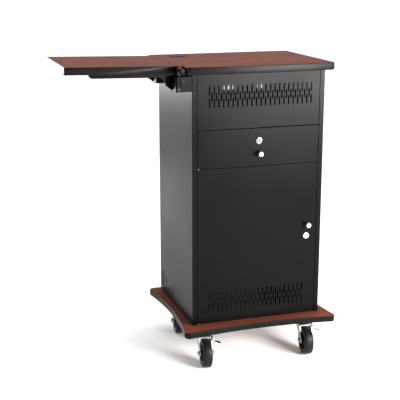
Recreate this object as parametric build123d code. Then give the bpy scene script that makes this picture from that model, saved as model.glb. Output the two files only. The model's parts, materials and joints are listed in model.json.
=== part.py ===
from build123d import *
import math
import os

# Lectern podium: a wheeled steel cabinet with a laminate worktop, a drop-down
# side shelf on locking arms, a lockable drawer and a lockable door.
# Millimetres. +X is the user's right, +Y is towards the back, +Z is up.
# Dimensions are measured from the middle of the cabinet at floor level. Saving moves
# each node by ORIGIN, so the shared origin is the bottom centre of the whole part.

# ---- driving dimensions ------------------------------------------------------
ORIGIN = (-180.75, -24.35)  # bottom centre of the whole part, seen from the cabinet's
TOP_Z = 1032.0           # worktop surface above the floor
TOP_T = 25.0             # worktop and side shelf thickness
BASE_Z = 149.0           # top of the base board
BASE_T = 21.0            # base board thickness
CAB_W = 468.0            # cabinet width
CAB_D = 400.0            # cabinet depth
SHEET = 1.5              # cabinet steel
BAND = 2.0               # edge band thickness
GAP = 3.0                # gap round the drawer and the door
POST_W = 16.0            # front post of each side panel
POST_D = 17.5            # how deep the front posts are boxed

TOP_HALF_W = 267.5
TOP_FRONT = -204.0
TOP_BACK = 218.0
TOP_BOW = 17.0           # how far the front edge bows out
NOTCH_W = 15.5           # corner notch that clears the lock grip
NOTCH_D = 44.0

BASE_HALF_W = 280.0
BASE_FRONT = -268.0
BASE_BACK = 217.0
BASE_SIDE_HOLLOW = 23.0
BASE_FRONT_HOLLOW = 27.0
BASE_CORNER_R = 18.0

SHELF_SEAM = -270.0      # inner edge of the side shelf before it is tilted
SHELF_END = -639.0
SHELF_FRONT = -155.0
SHELF_BACK = 190.0
SHELF_RISE = 1.27        # degrees that the free end is carried above level

DECK_Z = 694.0           # sheet between drawer and lower cabinet
DRAWER_TOP = 821.5
DOOR_BOTTOM = 153.0

BLOCK_W = 53.0           # shelf bracket housings
BLOCK_Z = (952.5, 1001.5)
BLOCK_FRONTS = (-198.0, 40.0)
BLOCK_D = 46.0
PIVOT = (-278.0, 961.0)  # shelf pivot, X and Z
LOCK_ROD = (-262.0, 987.0)
GRIP = (-267.0, 1021.0)
ARM_T = 4.0

CASTER_X = 187.5
CASTER_Y = (-186.0, 140.0)
CASTER_H = BASE_Z - BASE_T
TRAIL = 30.0
WHEEL_R = 50.0
SWIVEL = -7.0            # degrees that the casters have swung from straight
BRAKE_PIN = (-14.0, 98.0)  # brake lever pin, along the wheel's rolling direction

VENT_PITCH = 16.35
VENT_SLOT = (4.5, 30.0)
VENT_ROW = 20.5

TRAY = dict(x=203.0, y=(-181.5, 150.0), z=(704.0, 764.0))
SLIDE_Z = 735.0
DOOR_AXIS = (-211.5, -196.0)
DOOR_KNOB = (179.8, 475.7)
DOOR_LOCK = (180.0, 434.4)
DRAWER_KNOB = (0.0, 737.8)
DRAWER_LOCK = (0.0, 779.4)
GROMMET = (-174.0, 161.0)
GROMMET_REBATE = 0.6     # how deep the grommet's flange is let into the worktop
CABLE_HOLE = (150.0, 640.0)
CABLE_HOLE_R = 25.0
INNER_SHELF_Z = 420.0
STRETCHERS = ((-170.0, -130.0), (80.0, 120.0))   # bars under the worktop, in Y
INLET_Y = (108.0, 174.0)
INLET_Z = (172.0, 236.0)

HALF = CAB_W / 2
FRONT = -CAB_D / 2
BACK = CAB_D / 2
CAB_TOP = TOP_Z - TOP_T
OPEN_HALF = HALF - POST_W          # half width of the front opening
FACE_HALF = OPEN_HALF - 2.0        # half width of drawer front and door
INNER = HALF - SHEET


# ---- small helpers -------------------------------------------------------------
def block(x, y, z):
    """A box from three (low, high) pairs."""
    size = [high - low for low, high in (x, y, z)]
    middle = [(high + low) / 2 for low, high in (x, y, z)]
    return Pos(*middle) * Box(*size)


def rod_z(x, y, z, r):
    return Pos(x, y, sum(z) / 2) * Cylinder(r, z[1] - z[0])


def rod_y(x, z, y, r):
    return Pos(x, sum(y) / 2, z) * Rot(90, 0, 0) * Cylinder(r, y[1] - y[0])


def rod_x(y, z, x, r):
    return Pos(sum(x) / 2, y, z) * Rot(0, 90, 0) * Cylinder(r, x[1] - x[0])


def plate_xz(face, y):
    """A face drawn in X and Z, made solid over the (low, high) pair y."""
    plane = Plane((0, y[1], 0), x_dir=(1, 0, 0), z_dir=(0, -1, 0))
    return extrude(plane * face, amount=y[1] - y[0])


def plate_yz(face, x):
    """A face drawn in Y and Z, made solid over the (low, high) pair x."""
    plane = Plane((x[0], 0, 0), x_dir=(0, 1, 0), z_dir=(1, 0, 0))
    return extrude(plane * face, amount=x[1] - x[0])


def pan(x, y, z, t=SHEET):
    """A folded pan: face at y low, returns on all four sides, open behind."""
    hollow = block((x[0] + t, x[1] - t), (y[0] + t, y[1] + 1), (z[0] + t, z[1] - t))
    return block(x, y, z) - hollow


def vent_slots(first_x, columns, centre_z, y):
    """Three staggered rows of upright slots as one cutting tool."""
    width, height = VENT_SLOT
    spots = []
    for row in (-1, 0, 1):
        shift = VENT_PITCH / 2 if row == 0 else 0
        count = columns - 1 if row == 0 else columns
        for i in range(count):
            spots.append((first_x + shift + i * VENT_PITCH, centre_z + row * VENT_ROW))
    slots = Sketch() + [Pos(a, b) * SlotOverall(height, width, rotation=90) for a, b in spots]
    return plate_xz(slots, y)


def screw_head_y(x, z, y, r=4.0, height=2.4):
    """A low round head with a cross recess, facing -Y."""
    head = rod_y(x, z, (y - height, y), r)
    head = fillet(head.edges().group_by(Axis.Y)[0], height * 0.45)
    cross = block((x - r * 0.55, x + r * 0.55), (y - height, y - height * 0.55), (z - 0.5, z + 0.5))
    cross += block((x - 0.5, x + 0.5), (y - height, y - height * 0.55), (z - r * 0.55, z + r * 0.55))
    return head - cross


def save(name, *solids):
    """Write one node, whose solids stay separate."""
    parts = []
    for item in solids:
        parts.extend((Pos(-ORIGIN[0], -ORIGIN[1], 0) * item).solids())
    export_step(parts[0] if len(parts) == 1 else Compound(children=parts), f"parts/{name}.step")


# ---- boards and edge bands -----------------------------------------------------
def worktop_outline(inset=0.0):
    right = TOP_HALF_W - inset
    front = TOP_FRONT + inset
    back = TOP_BACK - inset
    left = -TOP_HALF_W
    edges = Curve() + [
        Line((left, back), (left, front)),
        ThreePointArc((left, front), (0, front - TOP_BOW), (right, front)),
        Line((right, front), (right, back)),
        Line((right, back), (left, back)),
    ]
    face = make_face(edges)
    right_corners = face.vertices().group_by(Axis.X)[-1].sort_by(Axis.Y)
    face = fillet(right_corners[0], 8 - inset)
    return fillet(face.vertices().group_by(Axis.Y)[-1].sort_by(Axis.X)[-1], 12 - inset)


def worktop_screw_spots():
    return [(x, sum(bar) / 2) for x in (-190, 190) for bar in STRETCHERS]


def notch_cut(grow=0.0):
    """The clearance for the lock grip, cut out of the worktop's front left corner."""
    return block(
        (-TOP_HALF_W - 1, -TOP_HALF_W + NOTCH_W + grow),
        (TOP_FRONT - 20, TOP_FRONT + NOTCH_D + grow),
        (TOP_Z - TOP_T, TOP_Z),
    )


def worktop_parts():
    z = TOP_Z - TOP_T
    slab = extrude(Pos(0, 0, z) * worktop_outline(), TOP_T) - notch_cut()
    core = extrude(Pos(0, 0, z) * worktop_outline(BAND), TOP_T) - notch_cut(BAND)
    band = slab - core
    for x, y in worktop_screw_spots():
        core -= rod_z(x, y, (z - 1, z + 14), 2.0)
    core -= rod_z(*GROMMET, (z - 1, TOP_Z + 1), 30.2)
    core -= rod_z(*GROMMET, (TOP_Z - GROMMET_REBATE, TOP_Z + 1), 36.3)
    return core, band


def base_outline(inset=0.0):
    half = BASE_HALF_W - inset
    front = BASE_FRONT + inset
    back = BASE_BACK - inset
    middle = (front + back) / 2
    edges = Curve() + [
        ThreePointArc((-half, back), (-half + BASE_SIDE_HOLLOW, middle), (-half, front)),
        ThreePointArc((-half, front), (0, front + BASE_FRONT_HOLLOW), (half, front)),
        ThreePointArc((half, front), (half - BASE_SIDE_HOLLOW, middle), (half, back)),
        Line((half, back), (-half, back)),
    ]
    face = make_face(edges)
    return fillet(face.vertices(), BASE_CORNER_R - inset)


def caster_bolt_spots():
    return [(x + dx, y + dy)
            for x in (-CASTER_X, CASTER_X) for y in CASTER_Y
            for dx in (-22, 22) for dy in (-35, 35)]


def base_parts():
    z = BASE_Z - BASE_T
    core = extrude(Pos(0, 0, z) * base_outline(BAND), BASE_T)
    band = extrude(Pos(0, 0, z) * (base_outline() - base_outline(BAND)), BASE_T)
    for x, y in caster_bolt_spots():
        core -= rod_z(x, y, (z - 1, z + 16), 3.1)
    core -= rod_z(*DOOR_AXIS, (BASE_Z - 8, BASE_Z + 1), 3.0)
    for x in (-224, 224):
        for y in (-120, 120):
            core -= rod_z(x, y, (BASE_Z - 14, BASE_Z + 1), 2.0)
    return core, band


def shelf_outline(inset=0.0):
    face = make_face(Polyline(
        (SHELF_SEAM, SHELF_FRONT + inset), (SHELF_SEAM, SHELF_BACK - inset),
        (SHELF_END + inset, SHELF_BACK - inset), (SHELF_END + inset, SHELF_FRONT + inset),
        close=True))
    return fillet(face.vertices().group_by(Axis.X)[0], 6 - inset)


def tilt(solid):
    """Swing a shelf piece up round the pivot to the angle the arms hold."""
    return solid.rotate(Axis((PIVOT[0], 0, PIVOT[1]), (0, 1, 0)), SHELF_RISE)


# ---- cabinet ---------------------------------------------------------------------
def side_panel(sign):
    """Right-hand panel for sign 1, left-hand for -1."""
    z = (BASE_Z, CAB_TOP)
    body = block((INNER, HALF), (FRONT, BACK), z)
    body += block((OPEN_HALF, HALF), (FRONT, FRONT + SHEET), z)
    body += block((OPEN_HALF, OPEN_HALF + SHEET), (FRONT, FRONT + POST_D + SHEET), z)
    body += block((HALF - 20, HALF), (BACK - SHEET, BACK), z)
    for low in (BASE_Z, CAB_TOP - SHEET):
        body += block((HALF - 20, HALF), (FRONT + 25, BACK), (low, low + SHEET))
    upright = body.edges().filter_by(Axis.Z).group_by(Axis.X)[-1]
    body = fillet(upright, SHEET * 0.95)
    if sign < 0:
        body = mirror(body, Plane.YZ)
        window = block((-HALF - 1, -INNER + 1), (INLET_Y[0] + 2, INLET_Y[1] - 2),
                       (INLET_Z[0] + 2, INLET_Z[1] - 2))
        body -= window
    for y in (-120, 120):
        body -= rod_z(sign * 224, y, (BASE_Z - 1, BASE_Z + 3), 2.2)
    return body


def rear_panel():
    y = (BACK - SHEET - SHEET, BACK - SHEET)
    body = block((-INNER + 0.5, INNER - 0.5), y, (BASE_Z + 2 * SHEET + 0.5, CAB_TOP - SHEET - 0.5))
    cut = (y[0] - 1, y[1] + 1)
    body -= vent_slots(-10 * VENT_PITCH, 21, 932.8, cut)
    body -= vent_slots(-10 * VENT_PITCH, 21, 227.0, cut)
    return body - rod_y(*CABLE_HOLE, cut, CABLE_HOLE_R)


def upper_vent_panel():
    bottom = DRAWER_TOP + GAP
    top = CAB_TOP - 0.5
    body = block((-FACE_HALF, FACE_HALF), (FRONT, FRONT + SHEET), (bottom, top))
    body += block((-FACE_HALF, FACE_HALF), (FRONT, FRONT + 18.5), (bottom, bottom + SHEET))
    body += block((-FACE_HALF, FACE_HALF), (FRONT + 17, FRONT + 18.5), (bottom, bottom + 12))
    body += block((-FACE_HALF, FACE_HALF), (FRONT, FRONT + 12), (top - SHEET, top))
    for sign in (-1, 1):
        inside = sign * (FACE_HALF - SHEET)
        body += block(sorted((inside, sign * FACE_HALF)), (FRONT, FRONT + 16.5), (bottom, top))
    return body - vent_slots(-174.5, 23, 932.8, (FRONT - 1, FRONT + SHEET + 1))


def floor_pan():
    z = (BASE_Z + SHEET, BASE_Z + 2 * SHEET)
    body = block((-OPEN_HALF + 0.7, OPEN_HALF - 0.7), (FRONT + SHEET + 0.5, BACK - 4), z)
    body += block((-INNER + 0.3, INNER - 0.3), (FRONT + POST_D + 3, BACK - 4), z)
    for sign in (-1, 1):
        edge = sorted((sign * (INNER - 0.3 - SHEET), sign * (INNER - 0.3)))
        body += block(edge, (FRONT + POST_D + 3, BACK - 4), (z[0], z[0] + 12))
        for y in (-120, 120):
            body -= rod_z(sign * 224, y, (z[0] - 1, z[1] + 1), 2.2)
    return body - rod_z(*DOOR_AXIS, (z[0] - 1, z[1] + 1), 2.56)


def drawer_deck():
    z = (DECK_Z - SHEET / 2, DECK_Z + SHEET / 2)
    body = block((-OPEN_HALF + 0.7, OPEN_HALF - 0.7), (FRONT + SHEET + 0.5, BACK - 4), z)
    body += block((-INNER + 0.3, INNER - 0.3), (FRONT + POST_D + 3, BACK - 4), z)
    for sign in (-1, 1):
        edge = sorted((sign * (INNER - 0.3 - SHEET), sign * (INNER - 0.3)))
        body += block(edge, (FRONT + POST_D + 3, BACK - 4), (z[0] - 14, z[1]))
    body += block((-INNER + 12, INNER - 12), (BACK - 4 - SHEET, BACK - 4), (z[0] - 14, z[1]))
    return body - rod_z(*DOOR_AXIS, (z[0] - 1, z[1] + 1), 2.56)


def top_frame():
    """Two stretchers that tie the side panels together under the worktop."""
    pieces = []
    for y in STRETCHERS:
        bar = block((-INNER + 21, INNER - 21), y, (CAB_TOP - SHEET, CAB_TOP))
        bar += block((-INNER + 0.3, INNER - 0.3), y, (CAB_TOP - 2 * SHEET, CAB_TOP - SHEET))
        for edge in (y[0], y[1] - SHEET):
            bar += block((-INNER + 0.3, INNER - 0.3), (edge, edge + SHEET), (CAB_TOP - 20, CAB_TOP - SHEET))
        for x in (-190, 190):
            bar -= rod_z(x, sum(y) / 2, (CAB_TOP - 4, CAB_TOP + 1), 2.2)
        pieces.append(bar)
    return pieces


def inner_shelf():
    """Height-adjustable shelf in the lower cabinet, a tray folded down all round."""
    x = (-INNER + 6, INNER - 6)
    y = (-165.0, 185.0)
    body = block(x, y, (INNER_SHELF_Z - 18, INNER_SHELF_Z))
    return body - block((x[0] + SHEET, x[1] - SHEET), (y[0] + SHEET, y[1] - SHEET),
                        (INNER_SHELF_Z - 19, INNER_SHELF_Z - SHEET))


def shelf_clips():
    clips = []
    for sign in (-1, 1):
        for y in (-120, 140):
            z = INNER_SHELF_Z - SHEET
            wall = sorted((sign * (INNER - 0.1), sign * (INNER - 2.1)))
            ledge = sorted((sign * (INNER - 2.1), sign * (INNER - 5.7)))
            clip = block(wall, (y - 9, y + 9), (z - 34, z))
            clip += block(ledge, (y - 9, y + 9), (z - 20.6, z - 18.6))
            clips.append(clip)
    return clips


def inlet_plate():
    """Recessed service plate low on the left side."""
    x = (-INNER + 0.1, -INNER + 1.6)
    body = block(x, (INLET_Y[0] - 6, INLET_Y[1] + 6), (INLET_Z[0] - 6, INLET_Z[1] + 6))
    middle_y = sum(INLET_Y) / 2
    middle_z = sum(INLET_Z) / 2
    body += rod_x(middle_y, middle_z, (x[0] - 1.2, x[0] + 0.2), 13)
    return body


def side_screw(sign, y, z):
    """Low round head on the outside of a side panel."""
    head = rod_x(y, z, (HALF, HALF + 2.2), 4.2)
    head = fillet(head.edges().group_by(Axis.X)[-1], 1.2)
    slot = block((HALF + 1.2, HALF + 3), (y - 2.4, y + 2.4), (z - 0.5, z + 0.5))
    slot += block((HALF + 1.2, HALF + 3), (y - 0.5, y + 0.5), (z - 2.4, z + 2.4))
    head -= slot
    return head if sign > 0 else mirror(head, Plane.YZ)


def cabinet_screws():
    heads = []
    for z in (828, 640, 250):
        heads.append(side_screw(1, -190, z))
    for x in (-150, 150):
        for z in (170, 560, 990):
            head = screw_head_y(x, z, 0)
            heads.append(Pos(0, BACK - SHEET, 0) * Rot(0, 0, 180) * head)
    for y in (INLET_Y[0] + 7, INLET_Y[1] - 7):
        for z in (INLET_Z[0] + 7, INLET_Z[1] - 7):
            heads.append(rod_x(y, z, (-INNER - 1.2, -INNER + 0.1), 3.0))
    return heads


def board_fasteners():
    pieces = []
    for x, y in caster_bolt_spots():
        z = CASTER_H
        bolt = rod_z(x, y, (z - 3.2, z + 14), 3.0)
        bolt += Pos(x, y, z - 5.2) * extrude(RegularPolygon(6.5, 6), 2.2)
        pieces.append(bolt)
    for x, y in worktop_screw_spots():
        screw = rod_z(x, y, (CAB_TOP - 3, CAB_TOP + 13), 1.9)
        screw += rod_z(x, y, (CAB_TOP - 5.2, CAB_TOP - 3), 4.5)
        pieces.append(screw)
    for x in (-224, 224):
        for y in (-120, 120):
            screw = rod_z(x, y, (BASE_Z - 13, BASE_Z + 2), 1.9)
            screw += rod_z(x, y, (BASE_Z + 3, BASE_Z + 5.2), 4.5)
            screw += rod_z(x, y, (BASE_Z + 1, BASE_Z + 3.2), 1.9)
            pieces.append(screw)
    return pieces


# ---- cable grommet -----------------------------------------------------------------
def grommet_sleeve():
    x, y = GROMMET
    flange = rod_z(x, y, (TOP_Z - GROMMET_REBATE, TOP_Z + 1.9), 36)
    flange = fillet(flange.edges().group_by(Axis.Z)[-1], 1.4)
    body = flange + rod_z(x, y, (TOP_Z - TOP_T + 2, TOP_Z + 1), 29.9)
    body -= rod_z(x, y, (TOP_Z - TOP_T, TOP_Z + 3), 27)
    ledge = rod_z(x, y, (TOP_Z - 3.5, TOP_Z - 2), 27.5) - rod_z(x, y, (TOP_Z - 4, TOP_Z), 24.5)
    return body + ledge


def grommet_cap():
    x, y = GROMMET
    cap = rod_z(x, y, (TOP_Z - 1.9, TOP_Z + 1.5), 26.5)
    cap = fillet(cap.edges().group_by(Axis.Z)[-1], 0.8)
    mouth = block((x - 8, x + 8), (y + 12, y + 28), (TOP_Z - 3, TOP_Z + 3))
    return cap - mouth


# ---- drawer ------------------------------------------------------------------------
def drawer_front():
    z = (DECK_Z + GAP / 2, DRAWER_TOP)
    body = pan((-FACE_HALF, FACE_HALF), (FRONT, FRONT + 18), z)
    through = (FRONT - 1, FRONT + SHEET + 1)
    body -= rod_y(*DRAWER_LOCK, through, 8.0)
    return body - rod_y(*DRAWER_KNOB, through, 2.2)


def drawer_tray():
    x, y, z = TRAY["x"], TRAY["y"], TRAY["z"]
    body = block((-x, x), (y[0] + 0.1, y[1]), z)
    return body - block((-x + 1.2, x - 1.2), (y[0] + 1.3, y[1] - 1.2), (z[0] + 1.2, z[1] + 1))


def knob(x, z):
    """Turned pull knob with a dished face, on a stem with its screw."""
    y = FRONT
    profile = make_face(Polyline(
        (0, 2), (3.8, 2), (3.8, 0), (5.5, 0), (4.6, -8), (8.6, -10.5), (8.6, -23.5),
        (7.4, -25), (5.5, -25), (4.0, -24.2), (0, -23.6), close=True))
    body = revolve(profile, Axis.Y)
    shank = rod_y(0, 0, (-1, 6), 2.1) + rod_y(0, 0, (SHEET, SHEET + 2.4), 4.2)
    return Pos(x, y, z) * (body - rod_y(0, 0, (0, 3), 4.0) + shank)


def lock_body(x, z):
    """Cam lock barrel: round bezel in front, threaded barrel and nut behind."""
    bezel = rod_y(0, 0, (-2.6, 0), 11.0)
    bezel = fillet(bezel.edges().group_by(Axis.Y)[0], 1.2)
    body = bezel + rod_y(0, 0, (-1, 17.6), 7.9)
    nut = plate_xz(RegularPolygon(11.5, 6), (SHEET, SHEET + 3.2))
    body = body + nut - rod_y(0, 0, (-3, 19), 6.06)
    return Pos(x, FRONT, z) * body


def lock_plug(x, z):
    """Key plug with its slot, on the square end that carries the cam."""
    body = rod_y(0, 0, (-3.1, 20), 6.0)
    body -= block((-0.7, 0.7), (-4, 8), (-3.6, 3.6))
    return Pos(x, FRONT, z) * body


def lock_cam(x, z, length, up):
    """Flat cam on the plug's end, pointing up or to the left at rest."""
    plate = make_face(Polyline((-6.5, -8), (6.5, -8), (6.5, length), (-6.5, length), close=True))
    plate = fillet(plate.vertices(), 4)
    body = plate_xz(plate, (20, 22))
    body += plate_xz(RegularPolygon(5.0, 6), (22, 25))
    if not up:
        body = body.rotate(Axis.Y, -90)
    return Pos(x, FRONT, z) * body


def slide_rails():
    """Outer, middle and inner rails of the two telescopic slides."""
    z = SLIDE_Z
    outer, middle, inner = [], [], []
    for sign in (-1, 1):
        def wall(x, y, zz):
            return block(sorted((sign * x[0], sign * x[1])), y, zz)
        y = (-178.0, 162.0)
        rail = wall((215.5, 217.0), y, (z - 22.5, z + 22.5))
        for edge in (-1, 1):
            flange = sorted((z + edge * 21.2, z + edge * 22.5))
            rail += wall((205.2, 215.5), y, flange)
            lip = sorted((z + edge * 16.5, z + edge * 22.5))
            rail += wall((205.2, 206.4), y, lip)
        for stand in (-140, 110):
            rail += wall((217.0, INNER - 0.05), (stand, stand + 30), (z - 12, z + 12))
        outer.append(rail)
        y = (-177.5, 150.0)
        rail = wall((212.8, 214.0), y, (z - 20.2, z + 20.2))
        for edge in (-1, 1):
            flange = sorted((z + edge * 19.0, z + edge * 20.2))
            rail += wall((207.6, 213.0), y, flange)
            lip = sorted((z + edge * 14.0, z + edge * 20.2))
            rail += wall((207.6, 208.8), y, lip)
        middle.append(rail)
        y = (-177.0, 148.0)
        rail = wall((TRAY["x"] + 0.02, 204.4), y, (z - 13, z + 13))
        for edge in (-1, 1):
            flange = sorted((z + edge * 11.8, z + edge * 13.0))
            rail += wall((204.2, 211.2), y, flange)
        inner.append(rail)
    return outer, middle, inner


# ---- door --------------------------------------------------------------------------
def door_panel():
    z = (DOOR_BOTTOM, DECK_Z - GAP / 2)
    body = pan((-FACE_HALF, FACE_HALF), (FRONT, FRONT + 18), z)
    for low in (320.0, 560.0):
        body += block((-150, 120), (FRONT + SHEET, FRONT + 14), (low, low + SHEET))
    through = (FRONT - 1, FRONT + SHEET + 1)
    body -= vent_slots(-174.5, 22, 227.0, through)
    body -= rod_y(*DOOR_LOCK, through, 8.0)
    body -= rod_y(*DOOR_KNOB, through, 2.2)
    return body - rod_z(*DOOR_AXIS, (z[0] - 1, z[1] + 1), 2.5)


def door_pivot_pins():
    x, y = DOOR_AXIS
    top = rod_z(x, y, (676, DECK_Z + 0.7), 2.5)
    bottom = rod_z(x, y, (BASE_Z - 6, DOOR_BOTTOM + 18), 2.5)
    return top, bottom


# ---- side shelf support ------------------------------------------------------------
def bracket_block(front):
    """Open-topped steel housing screwed to the cabinet's left side."""
    x = (-HALF - BLOCK_W, -HALF - 0.1)
    y = (front, front + BLOCK_D)
    body = block(x, y, BLOCK_Z)
    body = fillet(body.edges().filter_by(Axis.Z).group_by(Axis.X)[0], 5)
    body -= block((x[0] + 3, x[1] - 3), (y[0] + 3, y[1] - 3), (BLOCK_Z[0] + 3, BLOCK_Z[1] + 1))
    body += block((PIVOT[0] + 6.6, PIVOT[0] + 9.2), (y[0] - 2.0, y[0] + 0.5), BLOCK_Z)
    body -= rod_y(*PIVOT, (y[0] - 2, y[1] + 2), 4.05)
    return body - rod_y(*LOCK_ROD, (y[0] - 2, y[1] + 2), 4.05)


def pivot_pin(front):
    y = (front, front + BLOCK_D)
    body = rod_y(*PIVOT, (y[0] - 1, y[1] + 5.6), 4.0)
    body += rod_y(*PIVOT, (y[0] - 2.4, y[0]), 6.0)
    return body + rod_y(*PIVOT, (y[1] + 5.6, y[1] + 7.4), 6.5)


def arm_outline():
    """Gusset with a long rail, drawn level, hole centred on the pivot."""
    px, pz = PIVOT
    under = CAB_TOP
    outline = Polyline(
        (px - 7.0, pz + 17.5), (px - 7.0, pz + 17.0), (px + 3.0, pz + 17.0), (px + 3.0, pz + 22.5),
        (px + 7.0, pz + 22.5), (px + 7.0, pz + 14.0), (px + 9.0, pz + 10.0), (px + 9.0, pz - 7.0))
    tip = ThreePointArc((px + 9.0, pz - 7.0), (px + 3.0, pz - 14.0), (px - 5.0, pz - 11.5))
    curve = Spline((px - 5.0, pz - 11.5), (px - 13.5, pz - 4.0), (px - 21.0, pz + 1.5), (px - 28.0, pz + 6.5),
                   (px - 32.0, pz + 15.0), (px - 37.0, pz + 25.0), (px - 54.0, pz + 34.0),
                   tangents=((-1, 1), (-1, 0.1)))
    rail = Polyline(
        (px - 54.0, pz + 34.0), (-553.0, pz + 34.0), (-562.0, pz + 42.0), (-562.0, under),
        (px - 6.0, under), (px - 6.0, pz + 17.5), (px - 7.0, pz + 17.5))
    return make_face(Curve() + [outline, tip, curve, rail])


def shelf_arm(front):
    y = front + BLOCK_D + 1.0
    body = plate_xz(arm_outline(), (y, y + ARM_T))
    body -= rod_y(*PIVOT, (y - 1, y + ARM_T + 1), 4.05)
    body += block((-558, -300), (y, y + 24), (CAB_TOP - 3, CAB_TOP))
    body += block((PIVOT[0] - 20, PIVOT[0] - 14), (y - 2.5, y + 0.5), (PIVOT[1] + 12, PIVOT[1] + 33))
    for x in (-530, -430, -330):
        body -= rod_z(x, y + 15, (CAB_TOP - 4, CAB_TOP + 1), 2.2)
    return tilt(body)


def lock_rod():
    """Rod through both housings, with a pawl at each arm and the grip's crank."""
    x, z = LOCK_ROD
    body = rod_y(x, z, (BLOCK_FRONTS[0] - 1.5, BLOCK_FRONTS[1] + BLOCK_D + 6), 4.0)
    pawl_face = make_face(Polyline(
        (0, -2.5), (-15, -2.5), (-15, -7), (-19, -7), (-19, 2.5), (0, 2.5), close=True))
    pawl_face += Circle(6)
    for front in BLOCK_FRONTS:
        y = front + BLOCK_D + 1.0
        pawl = plate_xz(pawl_face, (y, y + ARM_T)).rotate(Axis.Y, 30)
        body += Pos(x, 0, z) * pawl
    reach = math.hypot(GRIP[0] - x, GRIP[1] - z)
    lean = math.degrees(math.atan2(GRIP[0] - x, GRIP[1] - z))
    crank = make_face(Polyline((-5, 0), (5, 0), (5, reach), (-5, reach), close=True))
    crank += Circle(6.5) + Pos(0, reach) * Circle(5)
    back = BLOCK_FRONTS[0] + 36
    return body + Pos(x, 0, z) * plate_xz(crank, (back - 4, back)).rotate(Axis.Y, lean)


def lock_grip():
    back = BLOCK_FRONTS[0] + 31.9
    body = rod_y(*GRIP, (back - 35.5, back), 10.8)
    return fillet(body.edges().filter_by(GeomType.CIRCLE), 1.6)


# ---- casters -----------------------------------------------------------------------
def place_caster(solid, x, y):
    return Pos(x, y, 0) * Rot(0, 0, SWIVEL) * solid


def caster_plate():
    top = CASTER_H
    body = block((-32, 32), (-45, 45), (top - 3, top))
    body = fillet(body.edges().filter_by(Axis.Z), 8)
    body += rod_z(0, 0, (top - 11.5, top - 3), 24)
    body += rod_z(0, 0, (99.5, top - 3), 6)
    body += rod_z(0, 0, (99.5, 102.5), 9.5)
    for x in (-22, 22):
        for y in (-35, 35):
            body -= rod_z(x, y, (top - 4, top + 1), 3.1)
    return body


def fork(brake):
    """Stamped swivel fork with a raceway head; braked forks carry lever ears."""
    crown = (103.5, 106.5)
    body = rod_z(0, 0, (crown[0], 116.1), 25.5)
    leg_face = make_face(Polyline(
        (20, crown[1]), (22, 96), (-TRAIL + 12, WHEEL_R - 2), (-TRAIL + 6, WHEEL_R - 11),
        (-TRAIL - 6, WHEEL_R - 11), (-TRAIL - 12, WHEEL_R - 2), (-26, 96), (-24, crown[1]), close=True))
    leg_face = fillet(leg_face.vertices().group_by(Axis.Y)[0], 5)
    for x in ((-22.5, -19.5), (19.5, 22.5)):
        body += plate_yz(leg_face, x)
    body += block((-22.5, 22.5), (-24, 20), crown)
    body -= rod_z(0, 0, (100, 118), 6.06)
    body -= rod_x(-TRAIL, WHEEL_R, (-24, 24), 5.0)
    if brake:
        y, z = BRAKE_PIN
        body -= block((19, 23), (y - 10, y + 10), (z - 17, z - 3.5))
        for side in (-1, 1):
            ear = block((22, 30), sorted((y + side * 12, y + side * 14.5)), (z - 5, z + 5))
            body += ear
        body -= rod_y(27, z, (y - 16, y + 16), 2.56)
    return body


def brake_lever():
    """Side pedal on a pin along the rolling direction, with its inner shoe."""
    y, z = BRAKE_PIN
    body = rod_y(27, z, (y - 15.5, y + 15.5), 2.5)
    body += rod_y(27, z, (y - 11.5, y + 11.5), 4.0)
    pedal = make_face(Polyline(
        (28, z + 1), (31, z + 1), (32.5, z - 12), (37, z - 16.5), (56, z - 20.5), (58.5, z - 25),
        (56.8, z - 26), (54.6, z - 22.8), (35.4, z - 18.8), (30.2, z - 13.5), close=True))
    body += plate_xz(pedal, (y - 11, y + 11))
    shoe = make_face(Polyline((25, z - 1), (29, z - 1), (28, z - 14), (17.7, z - 14), (17.7, z - 7),
                              (25, z - 7), close=True))
    return body + plate_xz(shoe, (y - 8, y + 8))


def axle():
    y, z = -TRAIL, WHEEL_R
    body = rod_x(y, z, (-24.5, 24.5), 4.98)
    body += Pos(22.6, y, z) * Rot(0, 90, 0) * extrude(RegularPolygon(8.5, 6), 5)
    return body + Pos(-27.6, y, z) * Rot(0, 90, 0) * extrude(RegularPolygon(8.5, 6), 5)


def wheel_hub():
    profile = make_face(Polyline(
        (5.05, -18), (12, -18), (12, -4), (31, -3), (31, -13.5), (36, -14.5), (36, 14.5), (31, 13.5),
        (31, 3), (12, 4), (12, 18), (5.05, 18), close=True))
    body = revolve(profile, Axis.Y)
    return Pos(0, -TRAIL, WHEEL_R) * Rot(0, 0, 90) * body


def tyre():
    profile = make_face(Polyline((36.02, -16), (WHEEL_R, -16), (WHEEL_R, 16), (36.02, 16), close=True))
    profile = fillet(profile.vertices().group_by(Axis.X)[-1], 6)
    return Pos(0, -TRAIL, WHEEL_R) * Rot(0, 0, 90) * revolve(profile, Axis.Y)


# ---- writing the nodes ---------------------------------------------------------------
def write_cabinet():
    for name, solid in zip(("worktop_board", "worktop_edge_band"), worktop_parts()):
        save(name, solid)
    for name, solid in zip(("base_board", "base_edge_band"), base_parts()):
        save(name, solid)
    save("side_panel_left", side_panel(-1))
    save("side_panel_right", side_panel(1))
    save("rear_panel", rear_panel())
    save("upper_vent_panel", upper_vent_panel())
    save("floor_pan", floor_pan())
    save("drawer_deck", drawer_deck())
    save("top_frame", *top_frame())
    save("inner_shelf", inner_shelf())
    save("shelf_clips", *shelf_clips())
    save("inlet_plate", inlet_plate())
    save("cabinet_screws", *cabinet_screws())
    save("board_fasteners", *board_fasteners())
    save("grommet_sleeve", grommet_sleeve())
    save("grommet_cap", grommet_cap())


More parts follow.
